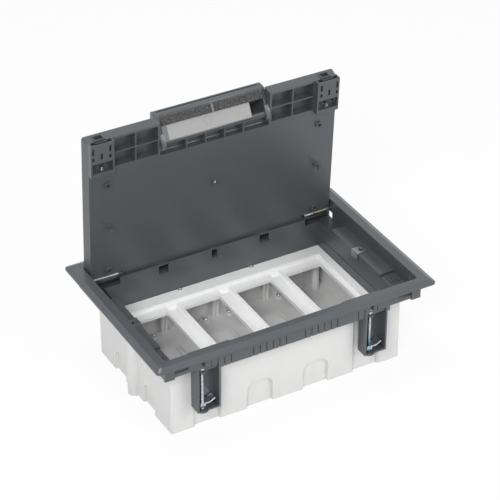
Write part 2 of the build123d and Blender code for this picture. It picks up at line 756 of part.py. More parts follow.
# Clamp screws, nuts and claws
for name, station in clamp_stations.items():
    with BuildPart() as clamp_screw:
        with BuildSketch(clamp_plane(station, clamp_bottom + 0.4)):
            Circle(screw_radius)
        extrude(amount=station[3] - clamp_bottom - 0.4)
        with BuildSketch(clamp_plane(station, station[3])):
            Circle(screw_head_radius)
        extrude(amount=screw_head_height)
        with BuildSketch(clamp_plane(station, station[3] + screw_head_height - 1.2)):
            Rectangle(4.4, 0.9)
            Rectangle(0.9, 4.4)
        extrude(amount=1.2, mode=Mode.SUBTRACT)
    save(clamp_screw, f"clamp_screw_{name}")

    with BuildPart() as clamp_nut:
        with BuildSketch(clamp_plane(station, claw_level - nut_height)):
            Rectangle(nut_width, nut_width - 1.4)
            Circle(screw_radius + pin_clearance, mode=Mode.SUBTRACT)
        extrude(amount=nut_height)
        with BuildSketch(clamp_plane(station, claw_level)):
            Circle(screw_radius + 0.7)
            Circle(screw_radius + pin_clearance, mode=Mode.SUBTRACT)
        extrude(amount=claw_thickness + 0.5)
    save(clamp_nut, f"clamp_nut_{name}")

    claw_gap = 0.1
    claw_low = claw_level + claw_gap
    x, y, turn, seat = station
    outward = -1 if turn == 0 else 1
    section = Plane(
        origin=(x, y + outward * claw_front, 0), x_dir=(-outward, 0, 0), z_dir=(0, outward, 0)
    )
    with BuildPart() as clamp_claw:
        with BuildSketch(section):
            with BuildLine():
                Polyline(
                    (-claw_end, claw_low),
                    (claw_flat, claw_low),
                    (claw_length, claw_low + claw_rise),
                    (claw_length - 0.8, claw_low + claw_rise + claw_thickness),
                    (claw_flat - 0.4, claw_low + claw_thickness),
                    (-claw_end, claw_low + claw_thickness),
                    close=True,
                )
            make_face()
        extrude(amount=-claw_front - claw_back)
        with BuildSketch(clamp_plane(station, claw_level)):
            Circle(screw_radius + 0.7 + claw_gap)
        extrude(amount=claw_thickness + claw_rise, mode=Mode.SUBTRACT)
    save(clamp_claw, f"clamp_claw_{name}")

# Lid moulding
cell_from = 10.0
cell_to = front_zone - 4
with BuildPart() as lid_body:
    with BuildSketch(lid_at(lid_inner)):
        with Locations((0, (lid_back - lid_front) / 2)):
            RectangleRounded(
                2 * (lid_half - lid_draft), lid_front + lid_back - lid_draft, lid_corner
            )
    with BuildSketch(lid_at(lid_outer)):
        with Locations((0, (lid_back - lid_front) / 2)):
            RectangleRounded(2 * lid_half, lid_front + lid_back, lid_corner)
    loft()
    # Rounded back edge that clears the flange
    with BuildSketch(lid_section):
        with BuildLine():
            Polyline(
                (-lid_back, lid_outer),
                (-lid_back + lid_back_chamfer, lid_outer),
                (-lid_back, lid_outer - lid_back_chamfer),
                close=True,
            )
        make_face()
        with BuildLine():
            Polyline(
                (-lid_heel_start, lid_inner),
                (-lid_back - 0.1, lid_inner + lid_heel_rise),
                (-lid_back - 0.1, lid_inner),
                close=True,
            )
        make_face()
    extrude(amount=lid_half, both=True, mode=Mode.SUBTRACT)
    # Latch housings standing on the inner face
    for side in (-1, 1):
        with BuildSketch(lid_at(latch_face)):
            lid_area(side * latch_inner, side * latch_outer, front_zone, lid_front - lid_draft / 2)
        extrude(amount=latch_stand + lid_skin)
        with BuildSketch(lid_at(latch_face)):
            lid_area(
                side * (latch_inner + latch_wall),
                side * (latch_outer - latch_wall),
                latch_pocket_start,
                lid_front,
            )
        extrude(amount=latch_stand, mode=Mode.SUBTRACT)
        # Thumb window through to the outer face
        with BuildSketch(lid_at(latch_face)):
            lid_area(
                side * (latch_x - thumb_width / 2 - 1),
                side * (latch_x + thumb_width / 2 + 1),
                thumb_start,
                thumb_start + thumb_window_length,
            )
        extrude(amount=lid_outer - latch_face, mode=Mode.SUBTRACT)
    # Recess in the outer face for the plate and the floor covering
    with BuildSketch(lid_at(plate_bottom)):
        lid_area(-lid_half + lid_rim, lid_half - lid_rim, -lid_back + lid_rim, front_zone + 2)
    extrude(amount=lid_outer - plate_bottom, mode=Mode.SUBTRACT)
    # Cells between the ribs under the plate
    cell_width = (2 * (lid_half - 8) - lid_cell_wall * (lid_cell_columns - 1)) / lid_cell_columns
    cell_length = (cell_to - cell_from - lid_cell_wall * (lid_cell_rows - 1)) / lid_cell_rows
    with BuildSketch(lid_at(lid_inner + lid_skin)):
        with Locations((0, -(cell_from + cell_to) / 2)):
            with GridLocations(
                cell_width + lid_cell_wall, cell_length + lid_cell_wall, lid_cell_columns, lid_cell_rows
            ):
                Rectangle(cell_width, cell_length)
    extrude(amount=plate_bottom - lid_inner - lid_skin, mode=Mode.SUBTRACT)
    # Rib pockets beside the latches, two by two
    pocket_width = (pocket_outer - pocket_inner - pocket_rib) / 2
    pocket_length = (pocket_far - pocket_near - pocket_rib) / 2
    with BuildSketch(lid_at(lid_inner)):
        for side in (-1, 1):
            middle = (side * (pocket_inner + pocket_outer) / 2, -(pocket_near + pocket_far) / 2)
            with Locations(middle):
                with GridLocations(pocket_width + pocket_rib, pocket_length + pocket_rib, 2, 2):
                    Rectangle(pocket_width, pocket_length)
    extrude(amount=lid_thickness - lid_skin, mode=Mode.SUBTRACT)
    # Opening for the cable flap and the ribbed recess below it
    with BuildSketch(lid_at(lid_inner)):
        lid_area(-flap_half - flap_gap, flap_half + flap_gap, flap_start - flap_gap, lid_front + 1)
    extrude(amount=lid_thickness, mode=Mode.SUBTRACT)
    with BuildSketch(lid_at(lid_inner)):
        lid_area(-flap_half, flap_half, front_zone + 1, flap_start - flap_gap - flap_lip)
        for side in (-1, 1):
            for index in range(2):
                rib_x = side * (flap_rib_x + index * flap_rib_pitch)
                with Locations((rib_x, -(front_zone + flap_start) / 2)):
                    Rectangle(flap_rib_width, flap_start - front_zone, mode=Mode.SUBTRACT)
    extrude(amount=lid_thickness - lid_skin - 2, mode=Mode.SUBTRACT)
    with BuildSketch(lid_at(lid_inner - flap_lip_stand)):
        lid_area(-flap_half, flap_half, flap_start - flap_gap - flap_lip, flap_start - flap_gap)
    extrude(amount=flap_lip_stand + lid_skin)
    # Rimmed hollow in the front edge over each latch
    with BuildSketch(lid_section_front):
        with Locations((-latch_x, guide_level), (latch_x, guide_level)):
            Rectangle(guide_length + 2 * guide_rim, guide_height + 2 * guide_rim)
    extrude(amount=guide_depth + 2)
    with BuildSketch(lid_section_front):
        with Locations((-latch_x, guide_level), (latch_x, guide_level)):
            Rectangle(guide_length, guide_height)
    extrude(amount=guide_depth, mode=Mode.SUBTRACT)
    # Grooves for the hinge pins
    with BuildSketch(Plane.YZ.offset(-skirt_x)):
        with Locations((hinge_y, hinge_z)):
            Circle(pin_radius + pin_clearance)
    extrude(amount=skirt_x - pin_groove_inner, mode=Mode.SUBTRACT)
    with BuildSketch(Plane.YZ.offset(pin_groove_inner)):
        with Locations((hinge_y, hinge_z)):
            Circle(pin_radius + pin_clearance)
    extrude(amount=skirt_x - pin_groove_inner, mode=Mode.SUBTRACT)
    # Small bosses and slots on the inner face
    with BuildSketch(lid_at(lid_inner - panel_boss_height)):
        with Locations(
            (-panel_boss_x, -panel_boss_far),
            (panel_boss_x, -panel_boss_far),
            (-panel_boss_x, -panel_boss_near),
            (panel_boss_x, -panel_boss_near),
            (0, -panel_boss_middle),
        ):
            Circle(panel_boss_radius)
            Circle(panel_boss_hole, mode=Mode.SUBTRACT)
        with Locations((-panel_boss_x, -panel_peg), (panel_boss_x, -panel_peg)):
            Circle(panel_peg_root)
    extrude(amount=panel_boss_height)
    # Headed pegs at both sides
    for side in (-1, 1):
        with BuildSketch(lid_at(lid_inner - panel_peg_height)):
            with Locations((side * panel_boss_x, -panel_peg)):
                Circle(panel_peg_tip)
        extrude(amount=panel_boss_height)
        with BuildSketch(lid_at(lid_inner - panel_peg_height)):
            with Locations((side * panel_boss_x, -panel_peg)):
                Circle(panel_peg_radius)
        extrude(amount=panel_peg_height)
    with BuildSketch(lid_at(lid_inner)):
        with Locations((-panel_slot_x, 1.2), (panel_slot_x, 1.2)):
            Rectangle(7, 2.4)
    extrude(amount=lid_skin, mode=Mode.SUBTRACT)
save(lid_body, "lid_body")

# Steel plate that stiffens the lid
with BuildPart() as cover_plate:
    with BuildSketch(lid_at(plate_bottom)):
        lid_area(
            -lid_half + lid_rim + cover_plate_gap,
            lid_half - lid_rim - cover_plate_gap,
            -lid_back + lid_rim + cover_plate_gap,
            front_zone + 2 - cover_plate_gap,
        )
    extrude(amount=cover_plate_thickness)
save(cover_plate, "cover_plate")

# Plain hinge pin on the left
with BuildPart() as hinge_pin_left:
    with BuildSketch(Plane.YZ.offset(-pin_end)):
        with Locations((hinge_y, hinge_z)):
            Circle(pin_radius)
    extrude(amount=pin_end - pin_inner)
save(hinge_pin_left, "hinge_pin_left")

# Sprung hinge pin on the right, drawn in to free the lid
with BuildPart() as hinge_pin_right:
    with BuildSketch(Plane.YZ.offset(pin_inner)):
        with Locations((hinge_y, hinge_z)):
            Circle(pin_radius)
    extrude(amount=pin_handle)
    with BuildSketch(Plane.YZ.offset(pin_inner)):
        with Locations((hinge_y, hinge_z)):
            Circle(neck_radius)
    extrude(amount=pin_end - pin_inner)
    with BuildSketch(Plane.YZ.offset(pin_shoulder)):
        with Locations((hinge_y, hinge_z)):
            Circle(pin_radius)
    extrude(amount=pin_end - pin_shoulder)
save(hinge_pin_right, "hinge_pin_right")

# Coil spring behind the right pin's shoulder
coil_radius = pin_radius - spring_wire / 2 - 0.05
coil_start = pin_shoulder - spring_length + spring_wire
with BuildPart() as hinge_spring:
    with BuildLine() as coil:
        Helix(
            pitch=(spring_length - 2 * spring_wire) / spring_turns,
            height=spring_length - 2 * spring_wire,
            radius=coil_radius,
            center=(coil_start, hinge_y, hinge_z),
            direction=(1, 0, 0),
        )
    with BuildSketch(Plane(origin=coil.line @ 0, z_dir=coil.line % 0)):
        RegularPolygon(spring_wire / 2, 8)
    sweep(is_frenet=True)
save(hinge_spring, "hinge_spring")

# Cable outlet flap, lifted out of the lid by its full travel
roof = lid_outer + flap_lift
flap_end = lid_front - 0.1
slant = (flap_slant_end - flap_slant_start) / (flap_end - flap_start)


def slant_height(distance):
    """Height of the slanted inner side at this distance from the hinge."""
    return flap_slant_start + slant * (distance - flap_start)


with BuildPart() as cable_flap:
    with BuildSketch(lid_section):
        with BuildLine():
            Polyline(
                (flap_start, flap_slant_start),
                (flap_end, flap_slant_end),
                (flap_end, roof),
                (flap_start, roof),
                close=True,
            )
        make_face()
    extrude(amount=flap_half, both=True)
    fillet(
        cable_flap.edges().filter_by(Axis.X).group_by(SortBy.DISTANCE)[-1],
        radius=1.0,
    )
    with BuildSketch(lid_section):
        with BuildLine():
            Polyline(
                (flap_start + flap_wall, slant_height(flap_start) + 3),
                (flap_window_from, slant_height(flap_window_from) - 2),
                (flap_window_to, slant_height(flap_window_to) - 2),
                (flap_window_to, slant_height(flap_window_to) + 2),
                (flap_end - flap_wall, slant_height(flap_end) + 1.5),
                (flap_end - flap_wall, roof - flap_wall),
                (flap_start + flap_wall, roof - flap_wall),
                close=True,
            )
        make_face()
    extrude(amount=flap_half - 2 * flap_wall, both=True, mode=Mode.SUBTRACT)
    # Levers at both ends that reach over the lid's lip
    lever_top = lid_inner - flap_lip_stand - flap_gap
    for side in (-1, 1):
        with BuildSketch(lid_section.offset(-side * flap_half)):
            with BuildLine():
                Polyline(
                    (flap_start - lever_reach, lever_top),
                    (flap_start, lever_top),
                    (flap_start, flap_slant_start),
                    (flap_start + lever_root, slant_height(flap_start + lever_root)),
                    (flap_start + lever_root, slant_height(flap_start + lever_root) - lever_thickness),
                    (flap_start, lever_top - lever_thickness),
                    (flap_start - lever_reach, lever_top - lever_thickness - 0.8),
                    close=True,
                )
            make_face()
        extrude(amount=side * lever_width)
save(cable_flap, "cable_flap")


def slant_strip(near, far, thickness):
    """Corners of a strip lying on the flap's slanted side."""
    low = slant_height(near)
    high = slant_height(far)
    return [(near, low), (far, high), (far, high - thickness), (near, low - thickness)]


# Light plate over the flap's hollow side
with BuildPart() as flap_plate:
    with BuildSketch(lid_section):
        with BuildLine():
            Polyline(*slant_strip(flap_window_from - 2, flap_window_to + 0.5, flap_plate_thickness), close=True)
        make_face()
    extrude(amount=flap_plate_left)
    with BuildSketch(lid_section):
        with BuildLine():
            Polyline(*slant_strip(flap_window_from - 2, flap_window_to + 0.5, flap_plate_thickness), close=True)
        make_face()
    extrude(amount=-flap_plate_right)
save(flap_plate, "flap_plate")

# Foam strips either side of a small clip
foam_end = flap_half - 2 * flap_wall - 1.5
for name, side in (("left", -1), ("right", 1)):
    start = foam_clip_width / 2 + 0.2
    with BuildPart() as foam_strip:
        with BuildSketch(lid_section.offset(-side * start)):
            with BuildLine():
                Polyline(*slant_strip(foam_from, flap_end - 0.4, foam_thickness), close=True)
            make_face()
        extrude(amount=-side * (foam_end - start))
    save(foam_strip, f"foam_strip_{name}")

with BuildPart() as foam_clip:
    with BuildSketch(lid_section):
        with BuildLine():
            Polyline(*slant_strip(foam_from, flap_end - 0.4, foam_thickness + 0.4), close=True)
        make_face()
    extrude(amount=foam_clip_width / 2, both=True)
save(foam_clip, "foam_clip")

# Latches: a slider with a nose and a thumb pad, behind a slotted cover
slider_low = latch_face + latch_cover + latch_gap
for name, side in (("left", -1), ("right", 1)):
    with BuildPart() as latch_slider:
        with BuildSketch(lid_at(slider_low)):
            lid_area(
                side * (latch_inner + latch_wall + latch_gap),
                side * (latch_outer - latch_wall - latch_gap),
                slider_near,
                lid_front - 6,
            )
            lid_area(
                side * (latch_x - nose_half_width),
                side * (latch_x + nose_half_width),
                lid_front - 7,
                lid_front - nose_retract,
            )
        extrude(amount=nose_thickness)
        with BuildSketch(lid_at(slider_low)):
            lid_area(
                side * (latch_x - thumb_width / 2),
                side * (latch_x + thumb_width / 2),
                thumb_start + 0.5,
                thumb_start + 0.5 + thumb_length,
            )
        extrude(amount=lid_outer - 3 - slider_low)
        # Hooked end that shows in the open half of the housing
        with BuildSketch(lid_at(slider_low)):
            with Locations((side * latch_x, -slider_near - hook_depth / 2)):
                with GridLocations(2 * hook_gap, 1, 2, 1):
                    Rectangle(hook_gap, hook_depth)
        extrude(amount=nose_thickness, mode=Mode.SUBTRACT)
    save(latch_slider, f"latch_slider_{name}")

    with BuildPart() as latch_plate:
        with BuildSketch(lid_at(latch_face)):
            lid_area(
                side * (latch_inner + latch_wall),
                side * (latch_outer - latch_wall),
                latch_near,
                lid_front - 1.2,
            )
            # Slots of the cover: distance from its near edge, length and side spread
            for distance, length, spread in ((8.5, 7.0, 0), (16.0, 8.0, 1), (6.5, 4.5, 1)):
                with Locations((side * (latch_x + latch_slot_shift), -latch_near - distance)):
                    with GridLocations(spread * latch_slot_spread, 1, 1 + spread, 1):
                        Rectangle(latch_slot_width, length, mode=Mode.SUBTRACT)
        extrude(amount=latch_cover)
    save(latch_plate, f"latch_cover_{name}")

    with BuildPart() as latch_spring:
        spring_room = slider_near - latch_pocket_start - 2 * spring_wire
        spring_start = lid_at(slider_low + nose_thickness / 2) * Location(
            (side * latch_x, -latch_pocket_start - spring_wire, 0)
        )
        with BuildLine() as coil:
            Helix(
                pitch=spring_room / latch_spring_turns,
                height=spring_room,
                radius=latch_spring_radius,
                center=spring_start.position,
                direction=along_lid,
            )
        with BuildSketch(Plane(origin=coil.line @ 0, z_dir=coil.line % 0)):
            RegularPolygon(spring_wire / 2, 6)
        sweep(is_frenet=True)
    save(latch_spring, f"latch_spring_{name}")
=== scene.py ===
import math
import bpy
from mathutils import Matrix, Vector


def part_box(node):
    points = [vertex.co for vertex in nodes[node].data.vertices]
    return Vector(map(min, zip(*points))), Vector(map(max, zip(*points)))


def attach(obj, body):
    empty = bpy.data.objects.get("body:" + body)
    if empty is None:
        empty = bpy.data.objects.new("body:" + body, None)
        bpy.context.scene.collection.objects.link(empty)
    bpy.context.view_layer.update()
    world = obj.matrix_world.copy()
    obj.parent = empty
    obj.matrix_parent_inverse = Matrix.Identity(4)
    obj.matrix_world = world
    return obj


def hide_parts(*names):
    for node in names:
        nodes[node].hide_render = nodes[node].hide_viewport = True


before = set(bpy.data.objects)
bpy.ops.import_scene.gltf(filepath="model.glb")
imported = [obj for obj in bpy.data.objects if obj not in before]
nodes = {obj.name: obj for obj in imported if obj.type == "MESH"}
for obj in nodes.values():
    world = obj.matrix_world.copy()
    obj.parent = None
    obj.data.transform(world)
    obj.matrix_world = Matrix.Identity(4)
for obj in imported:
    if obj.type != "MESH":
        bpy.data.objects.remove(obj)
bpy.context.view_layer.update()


# Lower housing.
# A light grey thermoplastic tub that is cast into the floor. It is moulded in one shot, with a
# fine eroded grain and faint flow clouds, and carries the frame on its rim.

grain_scale = 1400.0
grain_strength = 0.35
grain_depth = 0.00004
cloud_scale = 16.0
rub_scale = 45.0
rub_range = (0.88, 1.1)
weld_distance = 0.00001
edge_angle = math.radians(40)
main_rounding = 0.0004


def add_node(tree, kind, **settings):
    """Node of this kind with its properties set; keys that are socket names set the sockets."""
    node = tree.nodes.new(kind)
    for key, value in settings.items():
        if key in node.inputs:
            node.inputs[key].default_value = value
        else:
            setattr(node, key, value)
    return node


def feed(tree, value, socket):
    """Links a node's output to the socket, or sets the socket to a plain value."""
    if isinstance(value, bpy.types.NodeSocket):
        tree.links.new(value, socket)
    else:
        socket.default_value = value


def calculate(tree, operation, *values):
    """Result of a Math node."""
    node = add_node(tree, "ShaderNodeMath", operation=operation)
    for value, socket in zip(values, node.inputs):
        feed(tree, value, socket)
    return node.outputs[0]


def map_range(tree, value, start=(0, 1), end=(0, 1)):
    """The value carried over from one range to another."""
    node = tree.nodes.new("ShaderNodeMapRange")
    for label, limit in zip(("From Min", "From Max", "To Min", "To Max"), (*start, *end)):
        node.inputs[label].default_value = limit
    tree.links.new(value, node.inputs["Value"])
    return node.outputs["Result"]


def noise(tree, place, **settings):
    """Noise on the piece's own coordinates."""
    node = add_node(tree, "ShaderNodeTexNoise", **settings)
    tree.links.new(place.outputs["Object"], node.inputs["Vector"])
    return node.outputs["Fac"]


def new_surface(name, **inputs):
    """Empty node group that puts out a surface's colour, roughness and height."""
    group = bpy.data.node_groups.new(name, "ShaderNodeTree")
    outputs = {"Colour": "Color", "Roughness": "Float", "Height": "Float"}
    for way, sockets in (("INPUT", inputs), ("OUTPUT", outputs)):
        for label, kind in sockets.items():
            group.interface.new_socket(label, in_out=way, socket_type="NodeSocket" + kind)
    return group, group.nodes.new("NodeGroupInput"), group.nodes.new("NodeGroupOutput")


def moulded_surface_group():
    """Grain, flow clouds and handling marks of moulded plastic."""
    group, enter, leave = new_surface(
        "moulded_surface", Colour="Color", Cloud="Float", Roughness="Float")
    place = add_node(group, "ShaderNodeTexCoord")
    grain = noise(group, place, Scale=grain_scale, Detail=2.0)
    group.links.new(grain, leave.inputs["Height"])
    # Flow clouds lighten and darken the colour a little
    depth = enter.outputs["Cloud"]
    cloud = noise(group, place, Scale=cloud_scale, Detail=3.0, Distortion=0.8)
    darkest = calculate(group, "MULTIPLY_ADD", depth, -0.5, 1.0)
    tint = add_node(group, "ShaderNodeVectorMath", operation="SCALE")
    group.links.new(enter.outputs["Colour"], tint.inputs[0])
    group.links.new(
        calculate(group, "MULTIPLY_ADD", cloud, depth, darkest), tint.inputs["Scale"])
    group.links.new(tint.outputs[0], leave.inputs["Colour"])
    # Shinier where hands and packaging have rubbed the grain
    rub = noise(group, place, Scale=rub_scale, Detail=4.0)
    shine = map_range(group, rub, end=rub_range)
    rough = calculate(group, "MULTIPLY", shine, enter.outputs["Roughness"])
    group.links.new(rough, leave.inputs["Roughness"])
    return group


moulded_surface = moulded_surface_group()


def surface_material(name, surface, values, strength, depth):
    """Material with a surface group's colour, roughness and relief, and its shader."""
    material = bpy.data.materials.new(name)
    material.use_nodes = True
    tree = material.node_tree
    shader = tree.nodes["Principled BSDF"]
    skin = tree.nodes.new("ShaderNodeGroup")
    skin.node_tree = surface
    for label, value in values.items():
        skin.inputs[label].default_value = value
    bump = add_node(tree, "ShaderNodeBump", Strength=strength, Distance=depth)
    tree.links.new(skin.outputs["Height"], bump.inputs["Height"])
    tree.links.new(skin.outputs["Colour"], shader.inputs["Base Color"])
    tree.links.new(skin.outputs["Roughness"], shader.inputs["Roughness"])
    tree.links.new(bump.outputs["Normal"], shader.inputs["Normal"])
    return material, shader


def moulded_plastic(name, colour, roughness, cloud=0.05, ior=1.46):
    """Material of one moulded plastic."""
    values = {"Colour": (*colour, 1), "Cloud": cloud, "Roughness": roughness}
    material, shader = surface_material(
        name, moulded_surface, values, grain_strength, grain_depth)
    shader.inputs["IOR"].default_value = ior
    return material


def cover(mesh, material):
    """Gives a mesh this material alone."""
    mesh.materials.clear()
    mesh.materials.append(material)


def dress(material, *names):
    """Gives CAD nodes this material."""
    for name in names:
        cover(nodes[name].data, material)


def add_rounding(piece, width, segments=2):
    """Bevel modifier on the sharp edges of a piece."""
    rounding = piece.modifiers.new("rounding", "BEVEL")
    rounding.width = width
    rounding.segments = segments
    rounding.limit_method = "ANGLE"
    rounding.angle_limit = edge_angle
    return rounding


def soften_edges(width, *names, segments=2):
    """Small rounding on the sharp edges of CAD nodes, as a mould leaves it."""
    for name in names:
        weld = nodes[name].modifiers.new("weld", "WELD")
        weld.merge_threshold = weld_distance
        add_rounding(nodes[name], width, segments).harden_normals = True


housing_plastic = moulded_plastic("housing_plastic", (0.69, 0.69, 0.685), 0.42, cloud=0.06)
dress(housing_plastic, "lower_housing")
soften_edges(main_rounding, "lower_housing")


# Top frame.
# Slate grey frame with the flange, lid recess and well in one moulding. Satin surface with a
# fine grain, a little smoother than the lid.

frame_plastic = moulded_plastic(
    "frame_plastic", (0.078, 0.086, 0.094), 0.30, cloud=0.14, ior=1.56)
dress(frame_plastic, "top_frame")
soften_edges(main_rounding, "top_frame")


# Clamp housings.
# Four boxes of the frame's plastic under its trough, open on the side that faces out of the box.
# Each guides a claw and holds the foot of its clamp screw.

thin_rounding = 0.0003
corners = ("front_left", "front_right", "back_left", "back_right")
for corner in corners:
    dress(frame_plastic, "clamp_housing_" + corner)
    soften_edges(thin_rounding, "clamp_housing_" + corner)


# Socket carrier.
# White insert that the wiring modules clip into, held on the frame's lip by four small screws.

carrier_plastic = moulded_plastic(
    "carrier_plastic", (0.90, 0.90, 0.90), 0.30, cloud=0.03, ior=1.50)
dress(carrier_plastic, "socket_carrier")
soften_edges(main_rounding, "socket_carrier")


# Bright zinc parts.
# Clamp nuts and claws, the angle brackets on the ledges and the small screws. Pressed and turned
# steel with a bright zinc coat that is a little cloudy, duller on the brackets.

stain_scale = 140.0
stain_range = (0.48, 0.72)
line_scale = 900.0
line_range = (0.75, 1.3)
line_strength = 0.3
line_depth = 0.00003
fine_rounding = 0.0002
screw_rounding = 0.00015


def mix_colours(tree, share, first, second):
    """Colour between two others, each linked or plain."""
    first_input, second_input, colour_output = 6, 7, 2
    node = add_node(tree, "ShaderNodeMix", data_type="RGBA")
    tree.links.new(share, node.inputs[0])
    feed(tree, first, node.inputs[first_input])
    feed(tree, second, node.inputs[second_input])
    return node.outputs[colour_output]


def plated_surface_group():
    """Cloudy plating with fine rolling lines."""
    group, enter, leave = new_surface(
        "plated_metal", Colour="Color", Stain="Color", Roughness="Float")
    place = add_node(group, "ShaderNodeTexCoord")
    cloud = noise(group, place, Scale=stain_scale, Detail=4.0, Distortion=1.2)
    stained = mix_colours(
        group, map_range(group, cloud, start=stain_range),
        enter.outputs["Colour"], enter.outputs["Stain"])
    group.links.new(stained, leave.inputs["Colour"])
    lines = noise(group, place, Scale=line_scale, Detail=2.0)
    group.links.new(lines, leave.inputs["Height"])
    spread = map_range(group, lines, end=line_range)
    rough = calculate(group, "MULTIPLY", spread, enter.outputs["Roughness"])
    group.links.new(rough, leave.inputs["Roughness"])
    return group


plated_surface = plated_surface_group()


def plated_metal(name, colour, stain, roughness):
    """Material of one metal finish."""
    values = {"Colour": (*colour, 1), "Stain": (*stain, 1), "Roughness": roughness}
    material, shader = surface_material(
        name, plated_surface, values, line_strength, line_depth)
    shader.inputs["Metallic"].default_value = 1.0
    return material


zinc_colour = (0.56, 0.58, 0.60)
zinc_stain = (0.34, 0.42, 0.50)
zinc_roughness = 0.26
zinc_steel = plated_metal("zinc_steel", zinc_colour, zinc_stain, zinc_roughness)
for corner in corners:
    dress(zinc_steel, "clamp_nut_" + corner, "clamp_claw_" + corner)
    soften_edges(fine_rounding, "clamp_nut_" + corner, "clamp_claw_" + corner)
bracket_steel = plated_metal("bracket_steel", (0.33, 0.35, 0.37), (0.24, 0.26, 0.28), 0.32)
dress(bracket_steel, "support_bracket_left", "support_bracket_right")
soften_edges(thin_rounding, "support_bracket_left", "support_bracket_right")
screw_steel = plated_metal("screw_steel", (0.74, 0.74, 0.73), (0.60, 0.60, 0.58), 0.25)
dress(screw_steel, "carrier_screws", "housing_screws", "floor_screws")
soften_edges(screw_rounding, "carrier_screws", "housing_screws")


# Clamp screws.
# M4 pan head screws with a rolled thread and a cross recess, bright zinc plated. They turn in
# the frame's trough and in the foot of the clamp housing.

shank_radius = 0.0020
shank_overlap = 0.0002
thread_pitch = 0.0007
thread_depth = 0.0003
thread_steps = 14
crest_share = 0.25
seam_distance = 0.000001
head_radius = 0.0034
head_height = 0.0026
head_sides = 40
head_rounding = 0.55 * head_height
recess_span = 0.0044
recess_width = 0.0009
recess_depth = 0.55 * head_height
smooth_angle = math.radians(35)


def deselect_all():
    """Leaves no object selected."""
    bpy.ops.object.select_all(action="DESELECT")


def select_only(piece):
    """Makes this the one selected piece, and the active one."""
    deselect_all()
    piece.select_set(True)
    bpy.context.view_layer.objects.active = piece


def apply_placing():
    """Puts place, turn and scale of the selected pieces into their meshes."""
    bpy.ops.object.transform_apply(location=True, rotation=True, scale=True)


def select_edges(piece, fits):
    """Goes into edit mode with just those edges selected whose two ends fit."""
    bpy.ops.object.mode_set(mode="EDIT")
    bpy.ops.mesh.select_mode(type="EDGE")
    bpy.ops.mesh.select_all(action="DESELECT")
    bpy.ops.object.mode_set(mode="OBJECT")
    for edge in piece.data.edges:
        edge.select = all(fits(piece.data.vertices[i].co) for i in edge.vertices)
    bpy.ops.object.mode_set(mode="EDIT")


def turn_normals_out():
    """Turns all faces of the piece in edit mode outwards, and leaves edit mode."""
    bpy.ops.mesh.select_all(action="SELECT")
    bpy.ops.mesh.normals_make_consistent(inside=False)
    bpy.ops.object.mode_set(mode="OBJECT")


def cut_away(piece, cutter):
    """Takes the cutter's shape out of the piece, and the cutter out of the scene."""
    cut = piece.modifiers.new("cut", "BOOLEAN")
    cut.object = cutter
    cut.operation = "DIFFERENCE"
    cut.solver = "EXACT"
    bpy.context.view_layer.objects.active = piece
    bpy.ops.object.modifier_apply(modifier="cut")
    bpy.data.objects.remove(cutter)


def threaded_shank(centre, low, high):
    """Rolled thread between two levels on an upright axis."""
    deselect_all()
    middle = shank_radius - thread_depth / 2
    bpy.ops.mesh.primitive_plane_add(
        size=1, location=(0, 0, 0), rotation=(math.radians(90), 0, 0))
    shank = bpy.context.object
    shank.scale = (thread_depth, thread_pitch, 1)
    bpy.ops.object.transform_apply(location=False, rotation=True, scale=True)
    bpy.ops.object.mode_set(mode="EDIT")
    bpy.ops.mesh.select_all(action="SELECT")
    bpy.ops.transform.translate(value=(middle, 0, low - thread_pitch / 2))
    # The thread's profile has a narrow crest and is open towards the axis
    select_edges(shank, lambda point: point.x > middle)
    bpy.ops.transform.resize(value=(1, 1, crest_share))
    select_edges(shank, lambda point: point.x < middle)
    bpy.ops.mesh.delete(type="EDGE")
    bpy.ops.object.mode_set(mode="OBJECT")
    turns = shank.modifiers.new("thread", "SCREW")
    turns.screw_offset = thread_pitch
    turns.iterations = math.ceil((high - low) / thread_pitch) + 2
    turns.steps = thread_steps
    turns.render_steps = thread_steps
    turns.use_merge_vertices = True
    turns.merge_threshold = seam_distance
    bpy.ops.object.modifier_apply(modifier="thread")
    shank.location = (*centre, 0)
    apply_placing()
    bpy.ops.object.mode_set(mode="EDIT")
    for level, way in ((low, -1), (high, 1)):
        bpy.ops.mesh.select_all(action="SELECT")
        bpy.ops.mesh.bisect(
            plane_co=(0, 0, level), plane_no=(0, 0, way), use_fill=True, clear_outer=True)
    turn_normals_out()
    return shank


def pan_head(name, centre, radius, seat):
    """Domed head with a cross recess, whose span follows the head's radius."""
    deselect_all()
    cutters = []
    for turn in (0, 90):
        bpy.ops.mesh.primitive_cube_add(size=1, location=(*centre, seat + head_height))
        cutter = bpy.context.object
        cutter.scale = (recess_span * radius / head_radius, recess_width, 2 * recess_depth)
        cutter.rotation_euler = (0, 0, math.radians(turn))
        apply_placing()
        cutters.append(cutter)
    deselect_all()
    middle = seat + head_height / 2
    bpy.ops.mesh.primitive_cylinder_add(
        vertices=head_sides, radius=radius, depth=head_height, location=(*centre, middle))
    head = bpy.context.object
    head.name = name
    apply_placing()
    select_edges(head, lambda point: point.z > middle)
    bpy.ops.mesh.bevel(offset=head_rounding, segments=5)
    bpy.ops.object.mode_set(mode="OBJECT")
    for cutter in cutters:
        cut_away(head, cutter)
    return head


def join_pieces(name, *pieces):
    """Makes one piece of several."""
    deselect_all()
    for piece in pieces:
        piece.select_set(True)
    bpy.context.view_layer.objects.active = pieces[0]
    bpy.ops.object.join()
    joined = bpy.context.object
    joined.name = name
    joined.data.name = name
    bpy.ops.object.shade_smooth_by_angle(angle=smooth_angle)
    return joined


